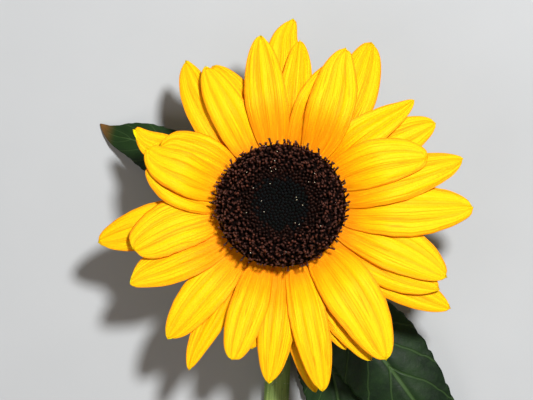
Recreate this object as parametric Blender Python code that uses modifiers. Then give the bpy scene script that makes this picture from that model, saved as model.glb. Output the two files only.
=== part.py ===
"""A cut sunflower lying face up on a table.

Metres, +Z up, the table at Z = 0. The stem lies along -Y, bends up behind the flower head and
carries it face up, so the head's far edge is at +Y. The origin is the middle of the flower's
base box. Every ray floret, bract and leaf is a solid of its own, a hair clear of its
neighbours; the stem and the receptacle, which grow as one piece, are one solid.
"""

import math

import bmesh
import bpy
from mathutils import Vector

MM = 0.001

# The head: its own frame has the receptacle's rim at height 0 and its face towards +Z.
HEAD_TILT = math.radians(8)           # the face leans this far towards +Y
DISC_RADIUS = 28.4 * MM
DISC_HEIGHT = 13.0 * MM
RECEPTACLE_RADIUS = 25.4 * MM
RECEPTACLE_DEPTH = 22 * MM            # from the rim down to the neck

# Ray florets stand in six layers on a ring just outside the receptacle's rim.
RAY_ROOT_RADIUS = 22.9 * MM
RAY_THICKNESS = 0.5 * MM
RAY_ROOT_HEIGHT = -3.0 * MM           # middle layer, at the root
RAY_RISE = 6.0 * MM                   # climb of the middle layer from the root to FAN_RADIUS
RAY_DROOP = 4.0 * MM                  # fall of the layers for each 30 mm past FAN_RADIUS
FAN_RADIUS = 45 * MM
LAYER_GAP_ROOT = 1.0 * MM
LAYER_GAP_FAN = 2.4 * MM
MIDDLE_LAYER = 2.5
RAY_ROWS = 8
RAY_COLUMNS = 4

# One line per ray floret, anticlockwise from +X: angle of its root and of its tip in degrees,
# reach of its tip from the head's axis and greatest width in mm, layer from 0 at the back to 5
# at the front, how far its edges bend down (up where negative) and how far its tip lifts, mm.
RAY_FLORETS = (
    (-3, 0, 76.8, 21, 3, 0.5, 0.0),
    (11, 14.4, 75.4, 17.5, 4, 0.4, 0.5),
    (28, 17.8, 61.4, 19, 5, 0.6, 0.0),
    (32, 29.2, 72, 18.5, 1, 0.4, 0.0),
    (43, 37.4, 68.5, 14.5, 3, -0.6, 2.0),
    (54, 61.9, 79, 20, 0, 0.4, 0.0),
    (59, 69.3, 67.8, 19, 5, 0.6, 1.5),
    (74, 69, 63, 14.5, 3, -0.5, 0.0),
    (82, 83.5, 69.4, 13.5, 2, -0.4, 0.0),
    (89, 88, 78.8, 16, 1, 0.4, 1.0),
    (97, 96.8, 70, 17, 4, 0.6, 0.0),
    (108, 115.5, 64, 15, 2, 0.4, 0.0),
    (119.5, 118.3, 64.5, 15.5, 3, 0.5, 0.5),
    (131, 122.7, 72, 16, 1, 0.4, 0.0),
    (141, 151, 55, 12, 3, 0.5, 1.5),
    (147, 152.7, 55, 10.5, 2, 0.3, 0.0),
    (151, 154.7, 66.7, 13.5, 1, 0.3, 1.5),
    (163, 159.5, 58.4, 17, 5, 0.6, -0.5),
    (175, 163, 55, 16, 4, 0.5, 0.0),
    (187, 196.6, 61.8, 21, 3, 0.5, 0.0),
    (187, 190.6, 74.8, 19, 1, 0.4, 0.0),
    (209, 206, 67.8, 17.5, 2, 0.5, 1.0),
    (228, 229.4, 69.7, 17, 1, 0.4, 0.0),
    (237, 239.8, 75, 12, 0, -0.5, 1.0),
    (252, 252.8, 65, 15, 3, 0.6, 0.5),
    (259, 258.5, 58.4, 12, 1, 0.3, 0.0),
    (269, 266, 71, 15, 2, 0.5, 0.0),
    (277, 280.6, 75.3, 12, 0, 0.3, 0.0),
    (284, 282.6, 76, 15, 3, 0.5, 0.5),
    (292, 294.3, 63, 11, 1, 0.3, 0.0),
    (299, 300.3, 71, 16, 2, 0.4, 0.0),
    (310, 303.9, 74.5, 22, 4, 0.6, 0.5),
    (325, 329.6, 79.4, 16, 0, 0.4, 0.0),
    (329, 332.7, 71.6, 17, 1, 0.4, 0.5),
    (343, 336.8, 72, 20, 2, 0.5, 0.0),
)

# Bracts: two rows of nine behind the rays, each row's root radius, root height, tip radius,
# tip height, greatest width in mm, and the angle of its first bract in degrees.
BRACTS_IN_ROW = 9
BRACT_THICKNESS = 0.7 * MM
BRACT_ROWS = (
    ("inner", 26.2, -8.0, 60.5, -11.5, 15, -11),
    ("outer", 21.6, -11.4, 53.0, -16.0, 14, 9),
)

# The stem lies on the table and turns up at the neck.
STEM_RADIUS = 5.2 * MM
STEM_END_RADIUS = 6.0 * MM
NECK_RADIUS = 5.0 * MM
STEM_LENGTH = 273 * MM                # the straight run on the table
STEM_SWAY = 5 * MM
NECK_BEND_RADIUS = 24 * MM
STEM_SIDES_RESOLUTION = 8             # gives 20 sides
STEM_RINGS = 16
NECK_RINGS = 8

# Leaves: the midrib's route in mm (x, y, z, the head's axis meeting the table near x = y = 0),
# the share of the route that is petiole, the blade's half width and the drop of its edges in mm.
LEAF_THICKNESS = 0.8 * MM
PETIOLE_THICKNESS = 3.0 * MM
PETIOLE_HALF_WIDTH = 1.7 * MM
LEAF_ROWS = 16
LEAF_COLUMNS = 6
LEAVES = (
    ("leaf_upper_left", ((-7.2, -33, 6.0), (-18, -14, 10), (-36, 13, 15), (-57, 27, 12), (-77, 32, 0.6)),
     0.22, 12.5, 3.0),
    ("leaf_lower_right", ((6.6, -34, 7.0), (21, -42, 13), (38, -57, 15), (60, -86, 12), (85, -121, 0.6)),
     0.28, 19, 4.5),
    ("leaf_lower", ((7.2, -50, 4.5), (14, -56, 6), (22, -70, 7), (27, -100, 5), (30, -137, 0.6)),
     0.20, 14, 2.5),
)

# Colours are linear red, green, blue.
YELLOW = (0.95, 0.55, 0.01)
MAROON = (0.05, 0.015, 0.01)
STEM_GREEN = (0.17, 0.27, 0.05)
BRACT_GREEN = (0.08, 0.17, 0.03)
LEAF_GREEN = (0.03, 0.09, 0.015)


def make_material(name, colour, roughness):
    """A plain Principled material; plants hold no metal."""
    material = bpy.data.materials.new(name)
    material.use_nodes = True
    shader = material.node_tree.nodes["Principled BSDF"]
    shader.inputs["Base Color"].default_value = (*colour, 1)
    shader.inputs["Roughness"].default_value = roughness
    shader.inputs["Metallic"].default_value = 0
    return material


def smooth_step(value):
    """0 below 0, 1 above 1, and a smooth climb between."""
    value = min(max(value, 0.0), 1.0)
    return value * value * (3 - 2 * value)


def polar(radius, degrees, height=0.0):
    """The point at a radius and an angle about the head's axis."""
    angle = math.radians(degrees)
    return Vector((radius * math.cos(angle), radius * math.sin(angle), height))


def spline_point(points, share):
    """A point on the smooth curve (Catmull-Rom) through all the points, 0 at the first, 1 at the last."""
    spans = len(points) - 1
    place = min(max(share, 0.0), 1.0) * spans
    index = min(int(place), spans - 1)
    t = place - index
    before = points[index - 1] if index > 0 else points[0] * 2 - points[1]
    after = points[index + 2] if index + 2 <= spans else points[-1] * 2 - points[-2]
    start = points[index]
    end = points[index + 1]
    return 0.5 * (
        start * 2
        + (end - before) * t
        + (before * 2 - start * 5 + end * 4 - after) * t ** 2
        + (start * 3 - before - end * 3 + after) * t ** 3
    )


def blade_width(share, widest, bluntness):
    """Share of the greatest width, for a blade that is widest at one share of its length."""
    power = math.log(0.5) / math.log(widest)
    return max(math.sin(math.pi * share ** power), 0.0) ** bluntness


def add_object(name, data, material, parent, collection):
    """A named object in its collection, under its parent empty."""
    item = bpy.data.objects.new(name, data)
    data.materials.append(material)
    item.parent = parent
    collection.objects.link(item)
    return item


def add_blade(name, surface, rows, columns, thickness, material, parent, collection, edge_share=None):
    """An open sheet, its grid placed by surface(along, across), made solid to the thickness.

    along runs 0 to 1 from root to tip and across runs -1 to 1. edge_share(along), where given,
    is the share of the full thickness there.
    """
    grid = bmesh.new()
    bmesh.ops.create_grid(grid, x_segments=columns, y_segments=rows, size=1)
    shares = [(vertex.co.y + 1) / 2 for vertex in grid.verts]
    for vertex in grid.verts:
        vertex.co = surface((vertex.co.y + 1) / 2, vertex.co.x)
    mesh = bpy.data.meshes.new(name)
    grid.to_mesh(mesh)
    grid.free()
    mesh.shade_smooth()
    item = add_object(name, mesh, material, parent, collection)
    solid = item.modifiers.new("thickness", "SOLIDIFY")
    solid.thickness = thickness
    solid.offset = 0
    if edge_share:
        group = item.vertex_groups.new(name="thickness")
        for index, share in enumerate(shares):
            group.add([index], edge_share(share), "REPLACE")
        solid.vertex_group = group.name
    return item


# ---------------------------------------------------------------- ray florets

def layer_height(layer, radius):
    """Height of a layer of rays: the layers fan apart as they leave the receptacle."""
    climb = smooth_step((radius - RAY_ROOT_RADIUS) / (FAN_RADIUS - RAY_ROOT_RADIUS))
    gap = LAYER_GAP_ROOT + (LAYER_GAP_FAN - LAYER_GAP_ROOT) * climb
    past = max(radius - FAN_RADIUS, 0.0) / (30 * MM)
    return RAY_ROOT_HEIGHT + RAY_RISE * climb - RAY_DROOP * past ** 2 + (layer - MIDDLE_LAYER) * gap


def ray_surface(root_angle, tip_angle, reach, width, layer, edge_drop, tip_lift):
    """The sheet of one ray floret: it leaves the rim radially and swings to its tip."""
    root = polar(RAY_ROOT_RADIUS, root_angle)
    tip = polar(reach * MM, tip_angle)
    knee = root + polar((tip - root).length * 0.5, root_angle)
    tip_start = 0.7
    narrowest = 0.35 * MM

    def surface(along, across):
        centre = root * (1 - along) ** 2 + knee * (2 * along * (1 - along)) + tip * along ** 2
        forward = (knee - root) * (1 - along) + (tip - knee) * along
        side = Vector((-forward.y, forward.x, 0)).normalized()
        share = blade_width(0.05 + 0.95 * along, widest=0.48, bluntness=0.72)
        point = centre + side * across * max(width / 2 * MM * share, narrowest)
        past = max(along - tip_start, 0.0) / (1 - tip_start)
        point.z = (
            layer_height(layer, point.xy.length)
            - edge_drop * MM * share * across ** 2
            + tip_lift * MM * past ** 2
        )
        return point

    return surface


def add_ray_florets(head, collection):
    yellow = make_material("ray_yellow", YELLOW, 0.55)
    for number, ray in enumerate(RAY_FLORETS, start=1):
        add_blade(
            f"ray_floret_{number:02d}", ray_surface(*ray), RAY_ROWS, RAY_COLUMNS,
            RAY_THICKNESS, yellow, head, collection,
        )


# ---------------------------------------------------------------- disc, bracts

def add_disc(head, collection):
    """The packed disc florets as one low dome, turned about the head's axis."""
    steps = 40
    edge = DISC_RADIUS
    profile = (
        (0, 0.80 * DISC_HEIGHT), (0.30 * edge, 0.83 * DISC_HEIGHT), (0.47 * edge, 0.91 * DISC_HEIGHT),
        (0.66 * edge, DISC_HEIGHT), (0.81 * edge, 0.96 * DISC_HEIGHT), (0.93 * edge, 0.76 * DISC_HEIGHT),
        (edge, 0.44 * DISC_HEIGHT), (0.985 * edge, 0.24 * DISC_HEIGHT),
        (0.87 * edge, 1.5 * MM), (0.76 * edge, 0.3 * MM), (0, 0.3 * MM),
    )
    outline = bmesh.new()
    corners = [outline.verts.new((radius, 0, height)) for radius, height in profile]
    for upper, lower in zip(corners, corners[1:]):
        outline.edges.new((upper, lower))
    mesh = bpy.data.meshes.new("disc_florets")
    outline.to_mesh(mesh)
    outline.free()
    disc = add_object(
        "disc_florets", mesh, make_material("disc_maroon", MAROON, 0.8), head, collection
    )
    screw = disc.modifiers.new("turned", "SCREW")
    screw.steps = steps
    screw.render_steps = steps
    screw.use_merge_vertices = True
    screw.merge_threshold = 0.00001
    screw.use_smooth_shade = True


def bract_surface(root_radius, root_height, tip_radius, tip_height, width, angle):
    """The sheet of one bract: a pointed green scale that leans out behind the rays."""
    narrowest = 0.4 * MM
    cup = 1.2 * MM

    def surface(along, across):
        radius = (root_radius + (tip_radius - root_radius) * along) * MM
        share = blade_width(0.12 + 0.88 * along, widest=0.42, bluntness=1.0)
        height = root_height + (tip_height - root_height) * along ** 1.6
        point = polar(radius, angle, height * MM)
        side = polar(1, angle + 90)
        point += side * across * max(width / 2 * MM * share, narrowest)
        point.z += cup * share * across ** 2
        return point

    return surface


def add_bracts(head, collection):
    green = make_material("bract_green", BRACT_GREEN, 0.6)
    for row, root_radius, root_height, tip_radius, tip_height, width, first in BRACT_ROWS:
        for index in range(BRACTS_IN_ROW):
            angle = first + index * 360 / BRACTS_IN_ROW
            surface = bract_surface(root_radius, root_height, tip_radius, tip_height, width, angle)
            add_blade(
                f"bract_{row}_{index + 1}", surface, 6, 4, BRACT_THICKNESS, green, head, collection
            )


# ---------------------------------------------------------------- stem and leaves

def receptacle_profile():
    """Distance below the rim and radius, from the neck up to the rim."""
    shelf = RECEPTACLE_RADIUS
    return (
        (19.0 * MM, 6.6 * MM), (16.5 * MM, 8.8 * MM), (14.0 * MM, 12.6 * MM), (11.5 * MM, 0.71 * shelf),
        (9.5 * MM, 0.88 * shelf), (8.0 * MM, 0.97 * shelf), (6.9 * MM, shelf), (6.4 * MM, 0.985 * shelf),
        (6.1 * MM, 22.0 * MM), (0, 21.6 * MM),
    )


def head_axis():
    """Unit vector out of the flower's face."""
    return Vector((0, math.sin(HEAD_TILT), math.cos(HEAD_TILT)))


def neck_turn():
    """Angle through which the neck turns from the table up to the head's axis."""
    return math.pi / 2 - HEAD_TILT


def head_origin():
    """Where the receptacle's rim is centred, with the bend's centre over the end of the straight run."""
    turn = neck_turn()
    top = Vector((0, NECK_BEND_RADIUS * math.sin(turn), NECK_BEND_RADIUS * (1 - math.cos(turn))))
    top += head_axis() * RECEPTACLE_DEPTH
    return Vector((0, 0, STEM_RADIUS + top.z)), -top.y


def stem_rings():
    """Centre and radius of each ring of the stem, from the cut end to the receptacle's rim."""
    origin, bend_start = head_origin()
    rings = []
    for index in range(STEM_RINGS):
        share = index / STEM_RINGS
        radius = STEM_END_RADIUS + (STEM_RADIUS - STEM_END_RADIUS) * share
        sway = STEM_SWAY * math.sin(math.pi * share) ** 2
        rings.append((Vector((-sway, bend_start - STEM_LENGTH * (1 - share), radius)), radius))
    for index in range(NECK_RINGS + 1):
        share = index / NECK_RINGS
        angle = neck_turn() * share
        centre = Vector((
            0,
            bend_start + NECK_BEND_RADIUS * math.sin(angle),
            STEM_RADIUS + NECK_BEND_RADIUS * (1 - math.cos(angle)),
        ))
        rings.append((centre, STEM_RADIUS + (NECK_RADIUS - STEM_RADIUS) * share))
    for depth, radius in receptacle_profile():
        rings.append((origin - head_axis() * depth, radius))
    return rings


def add_stem(plant, collection):
    """Stem and receptacle as one tube whose radius swells into the receptacle."""
    rings = stem_rings()
    curve = bpy.data.curves.new("stem_with_receptacle", "CURVE")
    curve.dimensions = "3D"
    curve.bevel_depth = MM
    curve.bevel_resolution = STEM_SIDES_RESOLUTION
    curve.use_fill_caps = True
    route = curve.splines.new("POLY")
    route.points.add(len(rings) - 1)
    for point, (centre, radius) in zip(route.points, rings):
        point.co = (*centre, 1)
        point.radius = radius / MM
    add_object(
        "stem_with_receptacle", curve, make_material("stem_green", STEM_GREEN, 0.6), plant, collection
    )


def leaf_surface(route, petiole, half_width, edge_drop):
    """The sheet of one leaf: a narrow petiole that opens into a heart-shaped blade."""
    points = [Vector(point) * MM for point in route]
    step = 0.01
    lowest = LEAF_THICKNESS / 2
    blend = 0.06

    def surface(along, across):
        centre = spline_point(points, along)
        forward = spline_point(points, along + step) - spline_point(points, along - step)
        side = Vector((-forward.y, forward.x, 0)).normalized()
        half = PETIOLE_HALF_WIDTH
        share = 0.0
        if along > petiole:
            share = blade_width(0.02 + 0.98 * (along - petiole) / (1 - petiole), widest=0.36, bluntness=0.75)
            opening = smooth_step((along - petiole) / blend)
            half = max(half_width * MM * share * opening, PETIOLE_HALF_WIDTH * (1 - opening) + lowest)
        point = centre + side * across * half
        point.z = max(point.z - edge_drop * MM * share * across ** 2, lowest)
        return point

    return surface


def add_leaves(plant, collection):
    green = make_material("leaf_green", LEAF_GREEN, 0.5)
    for name, route, petiole, half_width, edge_drop in LEAVES:

        def thick_share(along, petiole=petiole):
            thin = LEAF_THICKNESS / PETIOLE_THICKNESS
            return thin + (1 - thin) * (1 - smooth_step(along / petiole - 0.4))

        add_blade(
            name, leaf_surface(route, petiole, half_width, edge_drop), LEAF_ROWS, LEAF_COLUMNS,
            PETIOLE_THICKNESS, green, plant, collection, thick_share,
        )


# ---------------------------------------------------------------- the whole flower

def add_empty(name, parent, location, collection):
    empty = bpy.data.objects.new(name, None)
    empty.parent = parent
    empty.location = location
    collection.objects.link(empty)
    return empty


def centre_on_table(plant, collection):
    """Moves the whole flower so that its box stands on Z = 0, centred on X = Y = 0."""
    bpy.context.view_layer.update()
    graph = bpy.context.evaluated_depsgraph_get()
    corners = []
    for item in collection.objects:
        if item.type == "EMPTY":
            continue
        shape = item.evaluated_get(graph)
        mesh = shape.to_mesh()
        corners += [shape.matrix_world @ vertex.co for vertex in mesh.vertices]
        shape.to_mesh_clear()
    low = [min(corner[axis] for corner in corners) for axis in range(3)]
    high = [max(corner[axis] for corner in corners) for axis in range(3)]
    plant.location = (-(low[0] + high[0]) / 2, -(low[1] + high[1]) / 2, -low[2])


def main():
    for item in list(bpy.data.objects):
        bpy.data.objects.remove(item, do_unlink=True)
    collection = bpy.data.collections.new("cut_sunflower")
    bpy.context.scene.collection.children.link(collection)

    plant = add_empty("plant", None, (0, 0, 0), collection)
    head = add_empty("head", plant, head_origin()[0], collection)
    head.rotation_euler.x = -HEAD_TILT

    add_stem(plant, collection)
    add_leaves(plant, collection)
    add_bracts(head, collection)
    add_ray_florets(head, collection)
    add_disc(head, collection)
    centre_on_table(plant, collection)


main()
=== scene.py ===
"""The looks of a cut sunflower lying face up: rays, disc florets, bracts, leaves and stem.

Metres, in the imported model's frame. The head has a frame of its own: the receptacle's rim is at
height 0 and the face looks towards +Z. Sizes given in mm are multiplied by MM where they are used.
"""

import math

import bpy
import numpy as np
from mathutils import Matrix, Vector


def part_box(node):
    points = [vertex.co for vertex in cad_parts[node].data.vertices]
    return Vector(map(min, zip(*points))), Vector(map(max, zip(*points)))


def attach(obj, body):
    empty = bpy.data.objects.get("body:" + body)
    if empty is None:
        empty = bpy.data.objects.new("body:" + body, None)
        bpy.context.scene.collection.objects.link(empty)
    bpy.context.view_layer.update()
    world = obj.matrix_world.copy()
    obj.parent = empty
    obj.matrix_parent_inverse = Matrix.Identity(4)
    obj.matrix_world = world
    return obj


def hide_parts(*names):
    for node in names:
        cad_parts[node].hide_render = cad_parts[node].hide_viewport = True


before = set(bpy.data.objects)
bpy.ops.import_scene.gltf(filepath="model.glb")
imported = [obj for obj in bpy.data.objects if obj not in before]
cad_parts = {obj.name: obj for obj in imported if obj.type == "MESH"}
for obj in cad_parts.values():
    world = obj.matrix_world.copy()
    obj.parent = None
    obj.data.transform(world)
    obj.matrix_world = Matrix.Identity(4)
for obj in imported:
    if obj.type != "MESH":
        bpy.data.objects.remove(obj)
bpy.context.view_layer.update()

MM = 0.001
TINY = 1e-12                          # keeps a division from a zero length
rng = np.random.default_rng(7)

# ---------------------------------------------------------------- sizes, as in the CAD model

HEAD_TILT = math.radians(8)
DISC_RADIUS = 28.4
BED_HEIGHT = 11.2                     # the top of the florets' bed
RECEPTACLE_RADIUS = 25.4
RECEPTACLE_DEPTH = 22
RAY_ROOT_RADIUS = 22.9
RAY_ROOT_HEIGHT = -3.0
RAY_RISE = 6.0
RAY_DROOP = 4.0
FAN_RADIUS = 45
LAYER_GAP_ROOT = 1.0
LAYER_GAP_FAN = 2.4
MIDDLE_LAYER = 2.5
STEM_RADIUS = 5.2
STEM_END_RADIUS = 6.0
NECK_RADIUS = 5.0
STEM_LENGTH = 273
STEM_SWAY = 5
NECK_BEND_RADIUS = 24

# ---------------------------------------------------------------- where the head is

# The disc's box is widest at the head's axis, so it gives the head's place in the frame.
NECK_TURN = math.pi / 2 - HEAD_TILT
AXIS = Vector((0, math.sin(HEAD_TILT), math.cos(HEAD_TILT)))
BEND_TOP = Vector((0, NECK_BEND_RADIUS * math.sin(NECK_TURN), NECK_BEND_RADIUS * (1 - math.cos(NECK_TURN))))
HEAD_HEIGHT = STEM_RADIUS + BEND_TOP.z + RECEPTACLE_DEPTH * AXIS.z
BEND_START = -(BEND_TOP.y + RECEPTACLE_DEPTH * AXIS.y)

stem_low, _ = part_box("stem_with_receptacle")
disc_low, disc_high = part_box("disc_florets")
PLANT = Vector((
    (disc_low[0] + disc_high[0]) / 2,
    stem_low[1] - (BEND_START - STEM_LENGTH) * MM,
    0.0,
))
HEAD_PLACE = PLANT + Vector((0, 0, HEAD_HEIGHT * MM))
HEAD = Matrix.Translation(HEAD_PLACE) @ Matrix.Rotation(-HEAD_TILT, 4, "X")
PLANT_FRAME = Matrix.Translation(PLANT)


# ---------------------------------------------------------------- small helpers

def smooth_step(value):
    value = np.clip(value, 0.0, 1.0)
    return value * value * (3 - 2 * value)


def blade_width(share, widest, bluntness):
    """Share of the greatest width, for a blade that is widest at one share of its length."""
    power = math.log(0.5) / math.log(widest)
    return np.maximum(np.sin(math.pi * np.clip(share, 0, 1) ** power), 0.0) ** bluntness


def wave(values, seed, count=3, low=1.0, high=3.0):
    """A smooth pseudo-random curve of values, about -1 to 1, fixed by its seed."""
    source = np.random.default_rng(seed)
    total = np.zeros_like(values)
    for _ in range(count):
        total = total + source.uniform(0.5, 1) * np.sin(
            source.uniform(low, high) * 2 * math.pi * values + source.uniform(0, 2 * math.pi)
        )
    return total / count


def link_object(name, mesh, material, matrix=None):
    if matrix is not None:
        mesh.transform(matrix)
    mesh.materials.append(material)
    mesh.shade_smooth()
    item = bpy.data.objects.new(name, mesh)
    bpy.context.scene.collection.objects.link(item)
    return item


def add_values(mesh, name, values):
    """A number for each of the mesh's points, which its material reads by name."""
    attribute = mesh.attributes.new(name, "FLOAT", "POINT")
    attribute.data.foreach_set("value", np.asarray(values, np.float32).ravel())


def add_sheet(mesh, sheet):
    """The sheet coordinates (along, across, own) of each of the mesh's points."""
    attribute = mesh.attributes.new("sheet", "FLOAT_VECTOR", "POINT")
    attribute.data.foreach_set("vector", np.asarray(sheet, np.float32).ravel())


def grid_faces(rows, columns, start=0):
    """Quads of a grid of rows x columns points."""
    index = np.arange(rows * columns).reshape(rows, columns) + start
    quads = np.stack([index[:-1, :-1], index[:-1, 1:], index[1:, 1:], index[1:, :-1]], axis=-1)
    return quads.reshape(-1, 4)


def sheet_mesh(name, points, rows, columns, thickness, sheet):
    """A closed thin shell about a grid of points (mm), with sheet coordinates on its points.

    sheet is an array (rows * columns, 3): share along, place across (-1 to 1), and a value that
    differs from piece to piece. The columns run to the left of the rows' way, as seen from above.
    The attribute under is 1 on the lower side and 0 on the upper side.
    """
    grid = points.reshape(rows, columns, 3)
    along = np.gradient(grid, axis=0)
    across = np.gradient(grid, axis=1)
    down = np.cross(across, along)
    length = np.linalg.norm(down, axis=-1, keepdims=True)
    down = down / np.maximum(length, TINY)
    half_thick = np.asarray(thickness, float).reshape(rows, columns, 1) / 2
    lower = (grid + down * half_thick).reshape(-1, 3)
    upper = (grid - down * half_thick).reshape(-1, 3)
    count = rows * columns
    faces = [grid_faces(rows, columns), grid_faces(rows, columns, count)[:, ::-1]]
    index = np.arange(count).reshape(rows, columns)
    border = np.concatenate([index[0, :-1], index[:-1, -1], index[-1, :0:-1], index[:0:-1, 0]])
    after = np.roll(border, -1)
    faces.append(np.stack([after, border, border + count, after + count], axis=-1))
    mesh = bpy.data.meshes.new(name)
    mesh.from_pydata((np.concatenate([lower, upper]) * MM).tolist(), [], np.concatenate(faces).tolist())
    mesh.update()
    add_sheet(mesh, np.concatenate([sheet, sheet]))
    add_values(mesh, "under", np.repeat([1.0, 0.0], count))
    return mesh


# ---------------------------------------------------------------- materials

class Nodes:
    """A short way to write a material's node tree."""

    def __init__(self, name):
        self.material = bpy.data.materials.new(name)
        self.material.use_nodes = True
        self.tree = self.material.node_tree
        self.shader = self.tree.nodes["Principled BSDF"]

    def value_of(self, socket, value):
        if isinstance(value, bpy.types.NodeSocket):
            self.tree.links.new(value, socket)
        else:
            socket.default_value = value

    def attribute(self, name):
        node = self.tree.nodes.new("ShaderNodeAttribute")
        node.attribute_name = name
        return node

    def math(self, operation, first, second=0.0, third=0.0, clamp=False):
        node = self.tree.nodes.new("ShaderNodeMath")
        node.operation = operation
        node.use_clamp = clamp
        for socket, value in zip(node.inputs, (first, second, third)):
            self.value_of(socket, value)
        return node.outputs[0]

    def times(self, first, second):
        return self.math("MULTIPLY", first, second)

    def between(self, value, low, high):
        """0 at low, 1 at high, with a smooth climb."""
        node = self.tree.nodes.new("ShaderNodeMapRange")
        node.interpolation_type = "SMOOTHSTEP"
        self.value_of(node.inputs["Value"], value)
        node.inputs["From Min"].default_value = low
        node.inputs["From Max"].default_value = high
        return node.outputs["Result"]

    def mix(self, share, first, second, blend="MIX"):
        node = self.tree.nodes.new("ShaderNodeMix")
        node.data_type = "RGBA"
        node.blend_type = blend
        self.value_of(node.inputs["Factor"], share)
        for socket, value in ((node.inputs[6], first), (node.inputs[7], second)):
            self.value_of(socket, (*value, 1) if isinstance(value, tuple) else value)
        return node.outputs[2]

    def noise(self, vector, scale, detail=3.0, roughness=0.5):
        node = self.tree.nodes.new("ShaderNodeTexNoise")
        node.inputs["Scale"].default_value = scale
        node.inputs["Detail"].default_value = detail
        node.inputs["Roughness"].default_value = roughness
        self.value_of(node.inputs["Vector"], vector)
        return node.outputs["Fac"]

    def vector(self, x, y, z):
        node = self.tree.nodes.new("ShaderNodeCombineXYZ")
        for socket, value in zip(node.inputs, (x, y, z)):
            self.value_of(socket, value)
        return node.outputs[0]

    def scaled(self, parts, factors):
        """The vector of three parts, each times its own factor."""
        return self.vector(*(self.times(part, factor) for part, factor in zip(parts, factors)))

    def split(self, vector):
        node = self.tree.nodes.new("ShaderNodeSeparateXYZ")
        self.value_of(node.inputs[0], vector)
        return node.outputs

    def object_place(self):
        return self.tree.nodes.new("ShaderNodeTexCoord").outputs["Object"]

    def bump(self, height, strength, distance):
        node = self.tree.nodes.new("ShaderNodeBump")
        node.inputs["Strength"].default_value = strength
        node.inputs["Distance"].default_value = distance
        self.value_of(node.inputs["Height"], height)
        return node.outputs["Normal"]

    def finish(self, colour, roughness, normal=None, **constants):
        self.value_of(self.shader.inputs["Base Color"], colour)
        self.value_of(self.shader.inputs["Roughness"], roughness)
        if normal is not None:
            self.value_of(self.shader.inputs["Normal"], normal)
        for name, value in constants.items():
            self.shader.inputs[name.replace("_", " ")].default_value = value
        return self.material


def ray_material():
    """Petal: orange at the root, yellow outward, with lengthwise veins, paler streaks that are partly a
    painted highlight, and painted shade along its creases, edges and rib grooves.
    """
    yellow, orange, brown = (1.0, 0.76, 0.0), (0.96, 0.27, 0.0), (0.60, 0.085, 0.0)
    n = Nodes("ray_petal")
    sheet = n.split(n.attribute("sheet").outputs["Vector"])
    along, across, own = sheet
    streak = n.noise(n.scaled(sheet, (1.6, 7.0, 40)), 2.2, 4.0, 0.6)
    fine = n.noise(n.scaled(sheet, (2.5, 26.0, 17)), 1.6, 3.0, 0.6)
    crease = n.noise(n.scaled(sheet, (0.5, 5.5, 29)), 1.3, 1.0, 0.4)
    blotch = n.noise(n.object_place(), 90.0, 3.0, 0.5)
    # The root's orange reaches further out on some petals and along the streaks.
    reach = n.math("ADD", along, n.times(n.math("SUBTRACT", streak, 0.5), 0.35))
    reach = n.math("ADD", reach, n.times(n.math("SUBTRACT", own, 0.5), 0.22))
    base = n.mix(n.between(reach, 0.10, 0.52), orange, yellow)
    base = n.mix(n.times(n.between(along, 0.22, 0.02), 0.75), base, brown)
    # Thin red-orange lines along the creases: painted shade in the folds, over a slight dent in the bump.
    crease_shade_line = n.between(n.math("ABSOLUTE", n.math("SUBTRACT", crease, 0.5)), 0.035, 0.004)
    base = n.mix(n.times(crease_shade_line, 0.70), base, (0.85, 0.20, 0.0))
    # Redder towards both side edges: painted shade, as between overlapping petals.
    edge_shade = n.between(n.math("ABSOLUTE", across), 0.84, 1.0)
    base = n.mix(n.times(edge_shade, 0.65), base, (0.88, 0.19, 0.0))
    # Veins fade towards the tip.
    vein = n.times(n.between(fine, 0.56, 0.70), n.between(along, 1.05, 0.15))
    base = n.mix(n.times(vein, 0.30), base, (0.92, 0.30, 0.0))
    # A paler yellow where the streaks rise in the bump: partly the petal's own streaking, partly a painted
    # highlight.
    base = n.mix(n.times(n.between(streak, 0.52, 0.70), 0.40), base, (1.0, 0.84, 0.0))
    base = n.mix(n.times(n.between(blotch, 0.52, 0.75), 0.18), base, (0.97, 0.50, 0.0))
    # The upper side is a deeper colour than the underside.
    upper = n.math("SUBTRACT", 1.0, n.attribute("under").outputs["Fac"])
    base = n.mix(n.times(upper, 0.55), base, (0.86, 0.30, 0.0))
    # Redder in the rib grooves: painted shade in the valleys between the ribs.
    groove_shade = n.attribute("groove_shade").outputs["Fac"]
    base = n.mix(n.times(n.between(groove_shade, 0.45, 1.0), 0.42), base, (0.90, 0.27, 0.0))
    height = n.math("ADD", n.times(streak, 0.6), n.times(fine, 0.18))
    height = n.math("SUBTRACT", height, n.times(crease_shade_line, 0.5))
    rough = n.math("ADD", 0.48, n.times(fine, 0.25))
    n.shader.inputs["Subsurface Radius"].default_value = (1.0, 0.30, 0.01)
    return n.finish(
        base, rough, n.bump(height, 0.5, 0.0010),
        Subsurface_Weight=0.35, Subsurface_Scale=0.0012, Specular_IOR_Level=0.12,
    )


def floret_material(name, root, tip, odd, rough, spread, shine):
    """Small disc parts: a colour from root to tip, and an odd colour on some and in speckles."""
    n = Nodes(name)
    along, _, own = n.split(n.attribute("sheet").outputs["Vector"])
    colour = n.mix(n.between(along, 0.15, 0.95), root, tip)
    speckle = n.noise(n.object_place(), 900.0, 2.0, 0.6)
    colour = n.mix(n.times(n.between(own, 0.35, 0.95), spread), colour, odd)
    colour = n.mix(n.times(n.between(speckle, 0.45, 0.7), 0.35), colour, odd)
    normal = n.bump(speckle, 0.4, 0.0003)
    return n.finish(colour, rough, normal, Specular_IOR_Level=shine)


def disc_ground_material():
    """The dark bed between the florets."""
    n = Nodes("disc_bed")
    grain = n.noise(n.object_place(), 700.0, 4.0, 0.65)
    colour = n.mix(grain, (0.001, 0.0008, 0.0008), (0.006, 0.003, 0.0025))
    return n.finish(colour, 0.8, n.bump(grain, 0.8, 0.0008), Specular_IOR_Level=0.02)


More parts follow.
